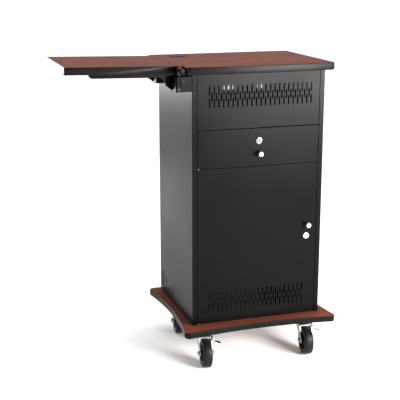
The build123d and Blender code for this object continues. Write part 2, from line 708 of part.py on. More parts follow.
def write_drawer():
    save("drawer_front", drawer_front())
    save("drawer_tray", drawer_tray())
    save("drawer_knob", knob(*DRAWER_KNOB))
    save("drawer_lock_body", lock_body(*DRAWER_LOCK))
    save("drawer_lock_plug", lock_plug(*DRAWER_LOCK))
    save("drawer_lock_cam", lock_cam(*DRAWER_LOCK, 53, up=False))
    outer, middle, inner = slide_rails()
    save("slide_outer_rails", *outer)
    save("slide_middle_rails", *middle)
    save("slide_inner_rails", *inner)


def write_door():
    save("door_panel", door_panel())
    save("door_pivot_pins", *door_pivot_pins())
    save("door_knob", knob(*DOOR_KNOB))
    save("door_lock_body", lock_body(*DOOR_LOCK))
    save("door_lock_plug", lock_plug(*DOOR_LOCK))
    save("door_lock_cam", lock_cam(*DOOR_LOCK, 44, up=True))


def write_side_shelf():
    z = TOP_Z - TOP_T
    core = extrude(Pos(0, 0, z) * shelf_outline(BAND), TOP_T)
    band = extrude(Pos(0, 0, z) * (shelf_outline() - shelf_outline(BAND)), TOP_T)
    save("shelf_board", tilt(core))
    save("shelf_edge_band", tilt(band))
    save("shelf_arms", *[shelf_arm(front) for front in BLOCK_FRONTS])
    save("bracket_blocks", *[bracket_block(front) for front in BLOCK_FRONTS])
    save("bracket_pivot_pins", *[pivot_pin(front) for front in BLOCK_FRONTS])
    save("lock_rod", lock_rod())
    save("lock_grip", lock_grip())


def write_casters():
    plates = []
    for side, x in (("left", -CASTER_X), ("right", CASTER_X)):
        for end, y in (("front", CASTER_Y[0]), ("rear", CASTER_Y[1])):
            plates.append(Pos(x, y, 0) * caster_plate())
            name = f"{end}_{side}"
            save(f"fork_{name}", place_caster(fork(end == "front"), x, y))
            save(f"axle_{name}", place_caster(axle(), x, y))
            save(f"wheel_hub_{name}", place_caster(wheel_hub(), x, y))
            save(f"tyre_{name}", place_caster(tyre(), x, y))
            if end == "front":
                save(f"brake_lever_{name}", place_caster(brake_lever(), x, y))
    save("caster_plates", *plates)


os.makedirs("parts", exist_ok=True)
write_cabinet()
write_drawer()
write_door()
write_side_shelf()
write_casters()
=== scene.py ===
import json
import math

import bmesh
import bpy
from mathutils import Matrix, Vector


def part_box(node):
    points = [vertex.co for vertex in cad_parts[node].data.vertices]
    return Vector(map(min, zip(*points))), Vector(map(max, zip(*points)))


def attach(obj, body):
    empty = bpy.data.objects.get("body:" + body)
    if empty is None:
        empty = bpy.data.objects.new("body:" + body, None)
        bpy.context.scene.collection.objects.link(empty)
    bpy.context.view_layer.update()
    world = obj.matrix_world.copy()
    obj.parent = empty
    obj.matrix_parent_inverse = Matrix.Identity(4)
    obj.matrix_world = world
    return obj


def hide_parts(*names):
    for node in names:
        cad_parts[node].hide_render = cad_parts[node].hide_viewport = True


# Lectern podium: the CAD model with its finishes, its pressed and moulded
# pieces rebuilt in mesh, and a plain pale studio round it. Metres, +Z up.

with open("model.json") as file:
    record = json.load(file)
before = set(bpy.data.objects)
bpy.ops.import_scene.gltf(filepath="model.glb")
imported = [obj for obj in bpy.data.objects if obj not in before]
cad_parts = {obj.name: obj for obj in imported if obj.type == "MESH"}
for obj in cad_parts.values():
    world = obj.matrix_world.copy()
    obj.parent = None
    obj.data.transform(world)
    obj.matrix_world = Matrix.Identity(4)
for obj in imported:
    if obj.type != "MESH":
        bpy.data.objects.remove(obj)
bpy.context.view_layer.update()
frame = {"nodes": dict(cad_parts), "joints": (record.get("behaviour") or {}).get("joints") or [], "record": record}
NODES = frame["nodes"]
MM = 0.001


# ---- node helpers ----------------------------------------------------------
class Look:
    """A material being built: makes nodes, links them and sets sockets by name."""

    def __init__(self, name):
        self.material = bpy.data.materials.new(name)
        self.material.use_nodes = True
        self.tree = self.material.node_tree
        self.shader = self.tree.nodes["Principled BSDF"]

    def node(self, kind, **sockets):
        made = self.tree.nodes.new(kind)
        for key, value in sockets.items():
            self.feed(made.inputs[key.replace("_", " ")], value)
        return made

    def feed(self, socket, value):
        if isinstance(value, bpy.types.NodeSocket):
            self.tree.links.new(value, socket)
        else:
            socket.default_value = value

    def set(self, **sockets):
        for key, value in sockets.items():
            self.feed(self.shader.inputs[key.replace("_", " ")], value)

    def place(self, scale=(1, 1, 1)):
        """Object coordinates in metres, multiplied by scale."""
        where = self.node("ShaderNodeTexCoord")
        return self.node("ShaderNodeMapping", Vector=where.outputs["Object"], Scale=scale).outputs["Vector"]

    def noise(self, where, scale, detail, rough=0.5):
        made = self.node("ShaderNodeTexNoise", Vector=where, Scale=scale, Detail=detail)
        made.inputs["Roughness"].default_value = rough
        return made.outputs["Fac"]

    def ramp(self, value, *stops):
        """Colours at stated positions, blended between them."""
        made = self.node("ShaderNodeValToRGB", Fac=value)
        band = made.color_ramp
        while len(band.elements) < len(stops):
            band.elements.new(0.5)
        for element, (at, colour) in zip(band.elements, stops):
            element.position = at
            element.color = (*colour, 1)
        return made.outputs["Color"]

    def range(self, value, low, high, out_low, out_high):
        """A value carried from one range to another, held at its ends."""
        made = self.node("ShaderNodeMapRange", Value=value)
        for key, number in zip(("From Min", "From Max", "To Min", "To Max"), (low, high, out_low, out_high)):
            made.inputs[key].default_value = number
        return made.outputs["Result"]

    def math(self, operation, a, b):
        made = self.tree.nodes.new("ShaderNodeMath")
        made.operation = operation
        self.feed(made.inputs[0], a)
        self.feed(made.inputs[1], b)
        return made.outputs["Value"]

    def mix(self, fac, a, b, blend="MIX"):
        made = self.tree.nodes.new("ShaderNodeMix")
        made.data_type = "RGBA"
        made.blend_type = blend
        self.feed(made.inputs[0], fac)
        for socket, value in ((made.inputs[6], a), (made.inputs[7], b)):
            self.feed(socket, (*value, 1) if isinstance(value, tuple) else value)
        return made.outputs[2]

    def toned(self, colour, tone):
        """A colour multiplied by a grey value."""
        grey = self.node("ShaderNodeCombineColor", Red=tone, Green=tone, Blue=tone).outputs[0]
        return self.mix(1.0, colour, grey, "MULTIPLY")

    def bump(self, height, strength, distance):
        made = self.node("ShaderNodeBump", Height=height, Strength=strength, Distance=distance)
        return made.outputs["Normal"]


# ---- materials -------------------------------------------------------------
def laminate():
    """Cherry wood-grain laminate: long figure along X, fine streaks and pores."""
    look = Look("cherry_laminate")
    drift = look.noise(look.place((1.6, 5.0, 5.0)), 1.7, 3.0)
    bent = look.node("ShaderNodeVectorMath", Vector=look.place((1.3, 16.0, 16.0)))
    bent.operation = "ADD"
    wander = look.node("ShaderNodeTexNoise", Vector=look.place((2.2, 6.0, 6.0)), Scale=2.0, Detail=2.0)
    look.feed(bent.inputs[1], wander.outputs["Color"])
    figure = look.noise(bent.outputs["Vector"], 2.4, 7.0, 0.62)
    streak = look.noise(look.place((9.0, 320.0, 320.0)), 1.0, 5.0, 0.6)
    pores = look.noise(look.place((60.0, 1500.0, 1500.0)), 1.0, 2.0, 0.5)
    base = look.ramp(
        figure,
        (0.30, (0.078, 0.020, 0.011)),
        (0.47, (0.125, 0.034, 0.019)),
        (0.60, (0.168, 0.049, 0.028)),
        (0.74, (0.112, 0.028, 0.015)))
    base = look.mix(look.range(drift, 0.35, 0.65, 0.0, 0.55), base, (0.150, 0.041, 0.023))
    dark = look.range(streak, 0.42, 0.60, 0.45, 0.0)
    base = look.mix(dark, base, (0.065, 0.017, 0.010))
    pore = look.range(pores, 0.60, 0.72, 0.0, 0.5)
    base = look.mix(pore, base, (0.04, 0.011, 0.007))
    look.set(Base_Color=base, Roughness=look.range(streak, 0.3, 0.7, 0.55, 0.45))
    look.set(Specular_IOR_Level=0.02)
    look.set(Normal=look.bump(look.math("ADD", streak, look.math("MULTIPLY", pores, 0.5)), 0.10, 0.0004))
    return look.material


def powder_coat(name, colour, rough=0.31, level=0.05, wear=0.15):
    """Fine-textured powder coat: orange-peel bump, drifting sheen, faint rubbed patches."""
    look = Look(name)
    grain = look.noise(look.place(), 1500.0, 3.0, 0.6)
    peel = look.noise(look.place(), 420.0, 2.0, 0.5)
    drift = look.noise(look.place(), 3.2, 4.0, 0.55)
    rub = look.noise(look.place((1.0, 1.0, 0.35)), 14.0, 6.0, 0.7)
    tone = look.range(drift, 0.3, 0.7, 0.85, 1.2)
    shade = look.toned(colour, tone)
    rubbed = look.range(rub, 0.60, 0.80, 0.0, 0.35 * wear)
    shade = look.mix(rubbed, shade, tuple(c * 2.6 + 0.006 for c in colour))
    flecks = look.range(grain, 0.63, 0.74, 0.0, 0.35)
    shade = look.mix(flecks, shade, tuple(c * 2.2 + 0.004 for c in colour))
    sheen = look.math("ADD", look.range(drift, 0.3, 0.7, rough - 0.05, rough + 0.06),
                      look.range(rub, 0.5, 0.8, 0.0, -0.02))
    look.set(Base_Color=shade, Roughness=sheen)
    look.set(Specular_IOR_Level=level)
    height = look.math("ADD", look.math("MULTIPLY", grain, 0.45), look.math("MULTIPLY", peel, 0.55))
    look.set(Normal=look.bump(height, 0.22, 0.0004))
    return look.material


def moulding(name, colour, rough, level, grain_scale=900.0, bump=0.12):
    """Extruded or moulded plastic: faint grain, flow marks and scuffs."""
    look = Look(name)
    grain = look.noise(look.place(), grain_scale, 3.0, 0.55)
    flow = look.noise(look.place((1.0, 1.0, 7.0)), 5.0, 4.0, 0.6)
    scuff = look.noise(look.place((1.0, 1.0, 3.0)), 60.0, 6.0, 0.75)
    tone = look.range(flow, 0.3, 0.7, 0.8, 1.25)
    shade = look.toned(colour, tone)
    shade = look.mix(look.range(scuff, 0.62, 0.8, 0.0, 0.3), shade, tuple(c * 2.0 + 0.02 for c in colour))
    look.set(Base_Color=shade, Roughness=look.range(scuff, 0.35, 0.75, rough - 0.04, rough + 0.10))
    look.set(Specular_IOR_Level=level)
    look.set(Normal=look.bump(grain, bump, 0.0003))
    return look.material


def rubber():
    """Caster rubber: matt, slightly dusty, with fine scuffing."""
    look = Look("tyre_rubber")
    grain = look.noise(look.place(), 1100.0, 4.0, 0.65)
    dust = look.noise(look.place(), 38.0, 6.0, 0.7)
    marks = look.noise(look.place(), 190.0, 5.0, 0.7)
    shade = look.ramp(
        dust,
        (0.35, (0.004, 0.004, 0.004)),
        (0.62, (0.007, 0.007, 0.0068)),
        (0.80, (0.02, 0.019, 0.018)))
    shade = look.mix(look.range(marks, 0.58, 0.75, 0.0, 0.3), shade, (0.014, 0.0135, 0.013))
    look.set(Base_Color=shade, Roughness=look.range(dust, 0.3, 0.75, 0.34, 0.55))
    look.set(Specular_IOR_Level=0.16)
    look.set(Normal=look.bump(look.math("ADD", grain, look.math("MULTIPLY", marks, 0.7)), 0.18, 0.0004))
    return look.material


def plated(name, colour, rough, streak=(1, 1, 1), tarnish=0.0):
    """Plated metal: polishing streaks, faint tarnish and tiny scratches."""
    look = Look(name)
    lines = look.noise(look.place(tuple(900.0 * s for s in streak)), 1.0, 4.0, 0.6)
    haze = look.noise(look.place(), 45.0, 5.0, 0.6)
    shade = look.ramp(
        haze,
        (0.30, tuple(c * (0.86 - tarnish) for c in colour)),
        (0.55, colour),
        (0.80, tuple(c * (0.93 - tarnish) for c in colour)))
    look.set(Base_Color=shade, Metallic=1.0)
    look.set(Roughness=look.math("ADD", look.range(haze, 0.3, 0.75, rough * 0.8, rough * 1.5),
                                 look.range(lines, 0.55, 0.75, 0.0, 0.06)))
    look.set(Normal=look.bump(lines, 0.05, 0.0002))
    return look.material


def zinc():
    """Bright zinc plate with its faint crystal patches and bluish-yellow passivation."""
    look = Look("zinc_plate")
    cells = look.node("ShaderNodeTexVoronoi", Vector=look.place(), Scale=260.0).outputs["Color"]
    tint = look.noise(look.place(), 22.0, 3.0, 0.5)
    shade = look.ramp(
        tint,
        (0.35, (0.50, 0.51, 0.53)),
        (0.55, (0.58, 0.57, 0.53)),
        (0.72, (0.47, 0.49, 0.53)))
    patch = look.node("ShaderNodeSeparateColor", Color=cells).outputs["Red"]
    shade = look.mix(look.range(patch, 0.0, 1.0, 0.0, 0.22), shade, (0.70, 0.70, 0.70))
    look.set(Base_Color=shade, Metallic=1.0)
    look.set(Roughness=look.range(patch, 0.0, 1.0, 0.30, 0.42))
    look.set(Normal=look.bump(look.noise(look.place(), 700.0, 3.0), 0.08, 0.0002))
    return look.material


def turned_chrome():
    """Satin chrome knob with fine turning marks in rings about Y."""
    look = Look("satin_chrome")
    haze = look.noise(look.place(), 60.0, 4.0, 0.6)
    lines = look.noise(look.place((2.0, 2600.0, 2.0)), 1.0, 3.0, 0.6)
    shade = look.ramp(haze, (0.3, (0.62, 0.61, 0.60)), (0.6, (0.78, 0.77, 0.76)))
    look.set(Base_Color=shade, Metallic=1.0, Roughness=look.range(haze, 0.3, 0.7, 0.22, 0.34))
    look.set(Normal=look.bump(lines, 0.06, 0.0002))
    return look.material


def make_looks():
    """One look for each material slot of the record."""
    return {
        "laminate": laminate(),
        "edge_band": moulding("edge_moulding", (0.006, 0.006, 0.006), 0.30, 0.05, 700.0, 0.02),
        "black_steel": powder_coat("powder_coat", (0.0024, 0.0020, 0.0019)),
        "black_enamel": powder_coat("black_enamel", (0.002, 0.002, 0.002), 0.30, 0.05, 0.1),
        "black_screw": powder_coat("blackened_screw", (0.006, 0.006, 0.006), 0.34, 0.14, 0.4),
        "zinc_steel": zinc(),
        "chrome": plated("bright_chrome", (0.55, 0.53, 0.51), 0.09),
        "satin_chrome": turned_chrome(),
        "caster_chrome": plated("caster_plating", (0.42, 0.42, 0.42), 0.17, (1, 1, 0.1), 0.05),
        "black_plastic": moulding("black_moulding", (0.003, 0.003, 0.003), 0.40, 0.07),
        "hub_plastic": moulding("hub_moulding", (0.008, 0.008, 0.008), 0.33, 0.22, 600.0, 0.08),
        "tyre_rubber": rubber(),
    }


# ---- carried-over CAD nodes ------------------------------------------------
WELD_GAP = 0.004 * MM    # vertices closer than this are merged
SHARP_EDGE = 32          # degrees between faces from which an edge is rounded
LARGE_FACE_WEIGHT = 90   # how far large faces rule the shading at an edge; 50 is neutral

# Smooth shading leaves faint arcs between the slots of these.
SLOTTED_SHEETS = ("upper_vent_panel", "door_panel", "rear_panel")

# Width of the rounded edges of each material's CAD nodes.
EDGE_ROUNDING = {
    "laminate": 0.3 * MM,
    "edge_band": 0.7 * MM,
    "black_steel": 0.35 * MM,
    "black_enamel": 0.5 * MM,
    "black_screw": 0.15 * MM,
    "zinc_steel": 0.2 * MM,
    "chrome": 0.15 * MM,
    "satin_chrome": 0.3 * MM,
    "caster_chrome": 0.4 * MM,
    "black_plastic": 0.4 * MM,
    "hub_plastic": 0.6 * MM,
    "tyre_rubber": 0.5 * MM,
}


def soften(node, width):
    """Rounds a CAD node's sharp edges slightly. Slotted sheets are shaded flat, the rest smoothly."""
    weld = node.modifiers.new("weld", "WELD")
    weld.merge_threshold = WELD_GAP
    bevel = node.modifiers.new("bevel", "BEVEL")
    bevel.width = width
    bevel.segments = 2
    bevel.limit_method = "ANGLE"
    bevel.angle_limit = math.radians(SHARP_EDGE)
    bevel.use_clamp_overlap = True
    bevel.harden_normals = False
    flat = node.name in SLOTTED_SHEETS
    for face in node.data.polygons:
        face.use_smooth = not flat
    if not flat:
        normals = node.modifiers.new("normals", "WEIGHTED_NORMAL")
        normals.keep_sharp = False
        normals.weight = LARGE_FACE_WEIGHT


def dress_nodes(looks):
    """Gives every CAD node the material of its slot and rounded edges."""
    slots = {part["node"]: part["material_slot"] for part in frame["record"]["subparts"]}
    for name, node in NODES.items():
        slot = slots[name]
        node.data.materials.clear()
        node.data.materials.append(looks[slot])
        soften(node, EDGE_ROUNDING[slot])


# ---- building pieces in mesh -----------------------------------------------
def piece(name, mesh_data, material, body, stands_for=(), sharp=38):
    """Turns a bmesh into a smoothly shaded object that rides on a body."""
    mesh = bpy.data.meshes.new(name)
    bmesh.ops.recalc_face_normals(mesh_data, faces=mesh_data.faces)
    mesh_data.to_mesh(mesh)
    mesh_data.free()
    for face in mesh.polygons:
        face.use_smooth = True
    mesh.set_sharp_from_angle(angle=math.radians(sharp))
    mesh.materials.append(material)
    made = bpy.data.objects.new(name, mesh)
    bpy.context.scene.collection.objects.link(made)
    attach(made, body)
    if stands_for:
        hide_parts(*stands_for)
    return made


def lathe(mesh_data, profile, place, steps):
    """Turns a closed profile of (radius, height) in millimetres about local Z."""
    rings = []
    for step in range(steps):
        turn = 2 * math.pi * step / steps
        ring = [place @ (Vector((r * math.cos(turn), r * math.sin(turn), h)) * MM) for r, h in profile]
        rings.append([mesh_data.verts.new(spot) for spot in ring])
    for step in range(steps):
        here, there = rings[step], rings[(step + 1) % steps]
        for i in range(len(profile)):
            j = (i + 1) % len(profile)
            mesh_data.faces.new((here[i], here[j], there[j], there[i]))


def prism(mesh_data, outline, low, high, place, bevel):
    """A bevelled prism: outline of (x, y), from low to high along local Z, in millimetres."""
    bottom = [mesh_data.verts.new(place @ (Vector((x, y, low)) * MM)) for x, y in outline]
    top = [mesh_data.verts.new(place @ (Vector((x, y, high)) * MM)) for x, y in outline]
    faces = [mesh_data.faces.new(bottom[::-1]), mesh_data.faces.new(top)]
    for i in range(len(outline)):
        j = (i + 1) % len(outline)
        faces.append(mesh_data.faces.new((bottom[i], bottom[j], top[j], top[i])))
    edges = {edge for face in faces for edge in face.edges}
    bmesh.ops.bevel(mesh_data, geom=list(edges), offset=bevel * MM, segments=2, profile=0.5, affect="EDGES")


def hexagon(across):
    """Corners of a nut or bolt head, from its width across flats."""
    radius = across / math.sqrt(3)
    corners = [math.radians(60 * i) for i in range(6)]
    return [(radius * math.cos(turn), radius * math.sin(turn)) for turn in corners]


def smooth_value(keys, at):
    """Catmull-Rom value through (position, value) keys."""
    if at <= keys[0][0]:
        return keys[0][1]
    for i in range(len(keys) - 1):
        (x0, y0), (x1, y1) = keys[i], keys[i + 1]
        if at <= x1:
            before = keys[max(i - 1, 0)]
            after = keys[min(i + 2, len(keys) - 1)]
            slope0 = (y1 - before[1]) / (x1 - before[0]) * (x1 - x0)
            slope1 = (after[1] - y0) / (after[0] - x0) * (x1 - x0)
            t = (at - x0) / (x1 - x0)
            return ((2 * t**3 - 3 * t**2 + 1) * y0 + (t**3 - 2 * t**2 + t) * slope0
                    + (3 * t**2 - 2 * t**3) * y1 + (t**3 - t**2) * slope1)
    return keys[-1][1]


# ---- casters ---------------------------------------------------------------
# In millimetres: X along the axle, Y along the rolling direction from the
# swivel axis, Z up from the floor.
LEG_X = 21.0             # middle of the fork's sheet, from the wheel's middle
CROWN_Z = 105.0          # middle of the sheet where it passes over the wheel
CROWN_BEND = 7.0         # radius from leg to crown
AXLE_Z = 50.0
LEG_TOE = 12.0           # radius of the leg's round end about the axle
LEG_END = 11.9           # the sheet ends this far below the axle, just inside the round end
TRAIL = 30.0             # axle behind the swivel axis
FORK_SHEET = 2.8
RIB_LOW, RIB_HIGH = 56, 94           # heights between which each leg has its pressed rib
RIB_RISE = 1.5
RIB_SPREAD = 0.17        # width of the rib as a fraction of the leg's
BRAKE_PIN = (-14.0, 98.0)            # Y and Z of the pedal's pin
NUT_FLATS = 15           # width across flats of the axle's head and nut

# Middle and half width of the fork's leg along Y, at each height Z.
LEG_CENTRE = [(AXLE_Z, -TRAIL), (62, -27), (76, -19), (90, -8.5), (98, -3.5), (106, -2)]
LEG_HALF = [(AXLE_Z, LEG_TOE), (62, 13.5), (76, 17), (90, 21.5), (98, 22.5), (106, 22)]


def leg_span(z):
    """Back and front edge of the fork's leg at height z."""
    if z < AXLE_Z:
        half = math.sqrt(LEG_TOE**2 - (AXLE_Z - z) ** 2)
        return -TRAIL - half, -TRAIL + half
    centre, half = smooth_value(LEG_CENTRE, z), smooth_value(LEG_HALF, z)
    return centre - half, centre + half


def rib_height(across, z):
    """How far the rib stands out, at a fraction of the leg's width and a height z."""
    along = min(max((z - RIB_LOW) / (RIB_HIGH - RIB_LOW), 0), 1)
    rise = math.sin(math.pi * along) ** 0.7
    return RIB_RISE * rise * math.exp(-(((across - 0.5) / RIB_SPREAD) ** 2))


def fork_path():
    """Sheet's middle line over the fork, from the right leg's end to the left's."""
    rows, flat_rows = 34, 10
    straight = CROWN_Z - CROWN_BEND - AXLE_Z + LEG_END
    inner_x, inner_z = LEG_X - CROWN_BEND, CROWN_Z - CROWN_BEND
    side = [(LEG_X, AXLE_Z - LEG_END + i * straight / rows) for i in range(rows + 1)]
    turns = [math.radians(12 * i) for i in range(1, 8)]
    side += [(inner_x + CROWN_BEND * math.cos(a), inner_z + CROWN_BEND * math.sin(a)) for a in turns]
    flat = [(inner_x - i * 2 * inner_x / flat_rows, CROWN_Z) for i in range(flat_rows + 1)]
    return side + flat + [(-x, z) for x, z in reversed(side)]


def fork_mesh(place, brake):
    """Pressed fork: legs with a raised rib, bent over into the crown."""
    sheet = bmesh.new()
    columns = 18
    path = fork_path()
    rows = []
    for x, z in path:
        low, high = leg_span(z)
        row = []
        for i in range(columns + 1):
            across = i / columns
            y = low + (high - low) * across
            spot = Vector((x + math.copysign(rib_height(across, z), x), y, z))
            row.append(sheet.verts.new(place @ (spot * MM)))
        rows.append(row)
    # the brake shoe reaches the tyre through a window in one leg
    window_y = (BRAKE_PIN[0] - 10, BRAKE_PIN[0] + 10)
    window_z = (BRAKE_PIN[1] - 17, BRAKE_PIN[1] - 3.5)
    for r in range(len(rows) - 1):
        for c in range(columns):
            z = (path[r][1] + path[r + 1][1]) / 2
            low, high = leg_span(z)
            y = low + (high - low) * (c + 0.5) / columns
            in_window = window_y[0] < y < window_y[1] and window_z[0] < z < window_z[1]
            if brake and path[r][0] > 0 and in_window:
                continue
            sheet.faces.new((rows[r][c], rows[r][c + 1], rows[r + 1][c + 1], rows[r + 1][c]))
    return sheet


def caster_frame(name):
    """Matrix from the caster's own axes (wheel axle along X) to the shared frame, in metres."""
    joints = {joint["name"]: joint for joint in frame["joints"]}
    swivel = joints["caster_swivel_" + name]["pos_m"]
    axle = joints["wheel_roll_" + name]["axis"]
    turn = math.atan2(axle[1], axle[0])
    return Matrix.Translation((swivel[0], swivel[1], 0)) @ Matrix.Rotation(turn, 4, "Z")


# Closed (radius, height) profiles: the swivel raceway, then the tyre and the
# wheel's hub with height along the axle.
HEAD_PROFILE = [
    (6.4, 103.6), (6.4, 108.0), (9.5, 109.0), (15.0, 109.4), (16.2, 112.4), (17.5, 115.2), (19.5, 115.9),
    (23.0, 115.9), (24.9, 115.2), (25.6, 113.4), (25.4, 110.8), (23.8, 108.6), (20.5, 107.0), (14.0, 106.2),
    (10.0, 103.6)]

TYRE_PROFILE = [
    (36.1, -14.6), (38.0, -15.6), (40.5, -16.0), (43.5, -15.9), (46.0, -15.0), (48.0, -13.2), (49.2, -10.6),
    (49.8, -7.0), (49.95, -3.0), (50.0, -0.35), (50.0, 0.35), (49.95, 3.0), (49.8, 7.0), (49.2, 10.6),
    (48.0, 13.2), (46.0, 15.0), (43.5, 15.9), (40.5, 16.0), (38.0, 15.6), (36.1, 14.6)]

HUB_PROFILE = [
    (5.3, -17.8), (8.6, -17.8), (9.0, -17.2), (11.8, -17.2), (12.8, -16.2), (13.6, -5.0), (15.0, -3.6),
    (28.5, -3.2), (30.6, -5.2), (31.2, -12.6), (32.2, -13.9), (35.2, -14.4), (36.0, -13.6), (36.0, 13.6),
    (35.2, 14.4), (32.2, 13.9), (31.2, 12.6), (30.6, 5.2), (28.5, 3.2), (15.0, 3.6), (13.6, 5.0),
    (12.8, 16.2), (11.8, 17.2), (9.0, 17.2), (8.6, 17.8), (5.3, 17.8)]
HUB_RIBS = 8
RIB_OUTLINE = [(12.8, -1.3), (31.4, -1.3), (31.4, 1.3), (12.8, 1.3)]


def axle_place(place):
    """Matrix whose origin is the wheel's middle and whose Z is the axle."""
    middle = Matrix.Translation(Vector((0, -TRAIL, AXLE_Z)) * MM)
    return place @ middle @ Matrix.Rotation(math.radians(90), 4, "Y")


def build_wheel(name, looks, place):
    """Rubber tread on a plastic hub with ribs on both faces."""
    body = f"wheel_{name}_body"
    spin = axle_place(place)
    tyre = bmesh.new()
    lathe(tyre, TYRE_PROFILE, spin, 96)
    piece(f"tyre_tread_{name}", tyre, looks["tyre_rubber"], body, (f"tyre_{name}",))
    hub = bmesh.new()
    lathe(hub, HUB_PROFILE, spin, 72)
    for i in range(HUB_RIBS):
        turn = Matrix.Rotation(2 * math.pi * i / HUB_RIBS, 4, "Z")
        for side in (-1, 1):
            flip = Matrix.Rotation(0 if side > 0 else math.pi, 4, "X")
            prism(hub, RIB_OUTLINE, 2.8, 10.5, spin @ turn @ flip, 0.5)
    piece(f"wheel_centre_{name}", hub, looks["hub_plastic"], body, (f"wheel_hub_{name}",))


def build_axle(name, looks, place):
    """Bolt through the wheel with its head, its nut and a washer inside each leg."""
    body = f"fork_{name}_body"
    spin = axle_place(place)
    bolt = bmesh.new()
    lathe(bolt, [(0.05, -24), (4.98, -24), (4.98, 28.4), (4.2, 29.2), (0.05, 29.2)], spin, 32)
    for side in (-1, 1):
        low, high = sorted((side * 22.7, side * 24.2))
        washer = [(5.1, low), (9.6, low), (9.9, low + 0.3), (9.9, high - 0.3), (9.6, high), (5.1, high)]
        lathe(bolt, washer, spin, 40)
    prism(bolt, hexagon(NUT_FLATS), -28.6, -24.2, spin, 0.5)
    prism(bolt, hexagon(NUT_FLATS), 24.2, 27.4, spin, 0.5)
    piece(f"axle_bolt_{name}", bolt, looks["caster_chrome"], body, (f"axle_{name}",))


def build_fork(name, looks, place, brake):
    """Fork pressing and the swivel raceway over it, with two ears for the pedal's pin if it has a brake."""
    body = f"fork_{name}_body"
    shell = piece(f"fork_pressing_{name}", fork_mesh(place, brake), looks["caster_chrome"],
                  body, (f"fork_{name}",))
    solid = shell.modifiers.new("sheet", "SOLIDIFY")
    solid.thickness = FORK_SHEET * MM
    solid.offset = 0
    edge = shell.modifiers.new("edge", "BEVEL")
    edge.width = 0.5 * MM
    edge.segments = 2
    edge.limit_method = "ANGLE"
    edge.angle_limit = math.radians(50)
    head = bmesh.new()
    lathe(head, HEAD_PROFILE, place, 72)
    if brake:
        y, z = BRAKE_PIN
        ear = [(21.8, z - 5.5), (27, z - 5.5), (29.4, z - 4.6), (31, z - 2.4), (31.6, z), (31, z + 2.4),
               (29.4, z + 4.6), (27, z + 5.5), (21.8, z + 5.5)]
        upright = place @ Matrix.Rotation(math.radians(90), 4, "X")
        for side in (-1, 1):
            low, high = sorted((-(y + side * 12.2), -(y + side * 14.4)))
            prism(head, ear, low, high, upright, 0.4)
    piece(f"fork_race_{name}", head, looks["caster_chrome"], body)


PEDAL_HALF = 11.0        # half the pedal's width at its pin
PEDAL_TAPER = 1.8        # how much less that is at the pedal's end
PEDAL_DISH = 0.8
PEDAL_SHEET = 1.8
PEDAL_PATH = [           # X and Z along the pedal, from its pin to its turned-down end
    (28.2, 99.6), (30.0, 98.6), (31.2, 96.0), (31.8, 91.0), (32.6, 86.5), (34.8, 83.2), (38.0, 81.4),
    (43.0, 80.1), (48.0, 79.0), (53.0, 77.9), (56.0, 76.8), (57.6, 74.8), (57.9, 73.0)]


def build_brake(name, looks, place):
    """Foot pedal: a bent, slightly dished strip, its barrel and pin, and the brake shoe."""
    body = f"brake_{name}_body"
    y, z = BRAKE_PIN
    strip = bmesh.new()
    rows = []
    columns = 10
    for i, (x, height) in enumerate(PEDAL_PATH):
        half = PEDAL_HALF - PEDAL_TAPER * (i / (len(PEDAL_PATH) - 1)) ** 3
        row = []
        for c in range(columns + 1):
            across = 2 * c / columns - 1
            dish = PEDAL_DISH * (1 - across**2)
            spot = Vector((x + dish * 0.3, y + half * across, height - dish))
            row.append(strip.verts.new(place @ (spot * MM)))
        rows.append(row)
    for r in range(len(rows) - 1):
        for c in range(columns):
            strip.faces.new((rows[r][c], rows[r][c + 1], rows[r + 1][c + 1], rows[r + 1][c]))
    pedal = piece(f"brake_pedal_{name}", strip, looks["caster_chrome"], body,
                  (f"brake_lever_{name}",))
    smooth = pedal.modifiers.new("smooth", "SUBSURF")
    smooth.levels = smooth.render_levels = 1
    solid = pedal.modifiers.new("sheet", "SOLIDIFY")
    solid.thickness = PEDAL_SHEET * MM
    solid.offset = 0
    fittings = bmesh.new()
    along = place @ Matrix.Translation(Vector((27, y, z)) * MM) @ Matrix.Rotation(math.radians(90), 4, "X")
    barrel = [(2.6, -11.6), (3.6, -11.6), (4.0, -11.2), (4.0, 11.2), (3.6, 11.6), (2.6, 11.6)]
    pin = [(0.05, -15.6), (3.4, -15.6), (3.6, -15.0), (2.45, -14.6), (2.45, 14.6), (3.6, 15.0), (3.4, 15.6),
           (0.05, 15.6)]
    lathe(fittings, barrel, along, 28)
    lathe(fittings, pin, along, 28)
    shoe = [(24.8, z - 2.5), (28.6, z - 2.5), (28.0, z - 14), (18.4, z - 14), (17.8, z - 13.2), (17.8, z - 8),
            (18.6, z - 7.2), (24.8, z - 7.2)]
    upright = place @ Matrix.Rotation(math.radians(90), 4, "X")
    prism(fittings, shoe, -(y + 8), -(y - 8), upright, 0.5)
    piece(f"brake_fittings_{name}", fittings, looks["zinc_steel"], body)


def build_casters(looks):
    """Four swivel casters; the front two have brakes."""
    for end in ("front", "rear"):
        for side in ("left", "right"):
            name = f"{end}_{side}"
            place = caster_frame(name)
            build_fork(name, looks, place, end == "front")
            build_axle(name, looks, place)
            build_wheel(name, looks, place)
            if end == "front":
                build_brake(name, looks, place)


# ---- edge mouldings --------------------------------------------------------
LIP = 1.4                # radius of the moulding's upper and lower edge
CROWN = 0.7              # how far its face bulges at mid height
BAND_LEVELS = (0.12, 0.45, 0.9, LIP, 3.0, 6.0, 9.0)  # its face is cut at these distances from both edges


def mount_tilt(name):
    """How far a mount's normal leans towards +X, in radians."""
    normal = next(mount["axis"] for mount in frame["record"]["mounts"] if mount["name"] == name)
    return math.atan2(normal[0], normal[2])


